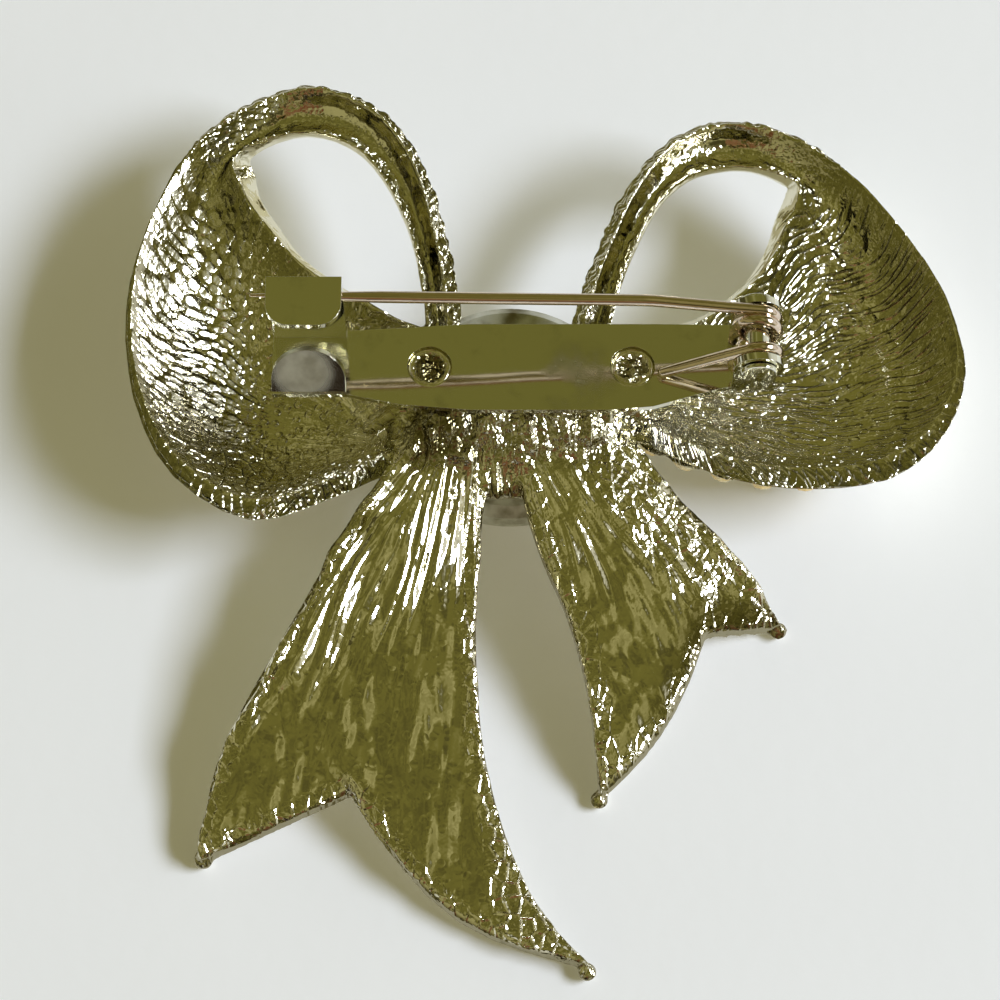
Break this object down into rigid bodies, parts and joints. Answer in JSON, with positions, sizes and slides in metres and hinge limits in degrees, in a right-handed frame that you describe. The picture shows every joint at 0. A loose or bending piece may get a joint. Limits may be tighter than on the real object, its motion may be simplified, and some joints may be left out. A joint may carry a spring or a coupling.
{
  "type": "bow brooch",
  "caption": "Ribbon bow brooch cast in plated metal, lying face down, with a hollow back, a sheet pin plate, a sprung wire pin, a hook catch and a round front setting.",
  "frame": {"origin": "middle of the outline on the surface that the brooch lies on", "axes": "+X right and +Y up as the back is looked at, +Z away from the surface, out of the back"},
  "size_m": [0.0524, 0.0575, 0.0175],
  "materials": {
    "cast_metal": "rough cast relief under bright plating, polished rims",
    "setting_metal": "bright plating",
    "centre_stone": "polished dome",
    "plate_steel": "mirror bright sheet",
    "pin_wire": "drawn wire, polished",
    "amber_stone": "faceted, foil backed"
  },
  "bodies": {
    "brooch": {"bow_casting": "cast_metal", "centre_setting": "setting_metal", "centre_stone": "centre_stone", "pin_plate": "plate_steel", "hinge_rivet": "plate_steel", "spring_tail": "pin_wire", "edge_stone_1": "amber_stone", "edge_stone_2": "amber_stone", "edge_stone_3": "amber_stone", "edge_stone_4": "amber_stone", "edge_stone_5": "amber_stone"},
    "pin": {"pin_stem": "pin_wire"}
  },
  "joints": [
    {"name": "pin_open", "type": "hinge", "parent": "brooch", "child": "pin", "pos_m": [0.01285, 0.00914, 0.0128], "axis": [0, 1, 0], "range_deg": [0, 70]}
  ]
}
